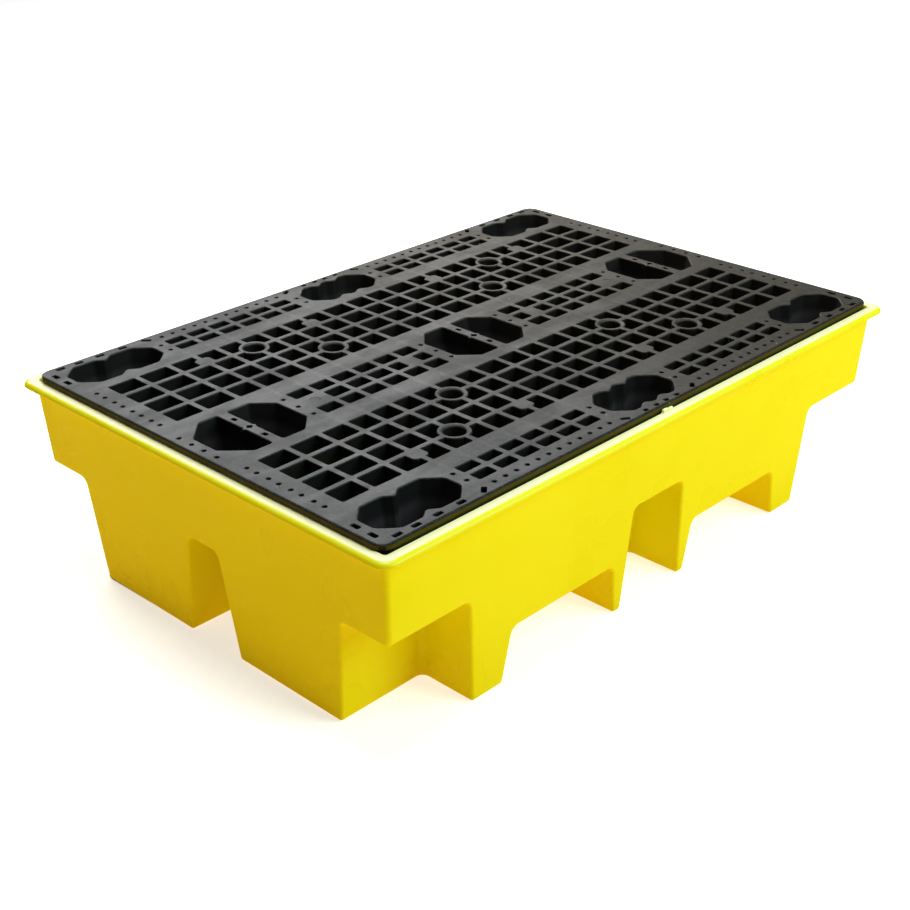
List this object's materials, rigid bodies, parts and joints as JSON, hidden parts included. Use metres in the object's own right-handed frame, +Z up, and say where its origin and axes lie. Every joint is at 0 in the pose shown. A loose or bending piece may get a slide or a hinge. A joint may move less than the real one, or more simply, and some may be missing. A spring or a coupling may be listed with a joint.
{
  "type": "spill containment pallet",
  "caption": "Low rectangular spill containment pallet: an open moulded sump with a flanged rim and fork channels, under a lift-out grating deck whose hollow legs stand inside the sump.",
  "frame": {"origin": "on the floor, under the middle of the pallet", "axes": "+X along the long side, +Y along the short side, +Z up"},
  "size_m": [1.24, 0.86, 0.343],
  "materials": {
    "sump_yellow": "satin rotationally moulded polyethylene",
    "deck_black": "matt injection moulded recycled plastic"
  },
  "bodies": {
    "sump": {"sump": "sump_yellow"},
    "deck": {"deck": "deck_black"}
  },
  "joints": [
    {"name": "deck_lift", "type": "slide", "parent": "sump", "child": "deck", "axis": [0, 0, 1], "range_m": [0, 0.3]}
  ]
}
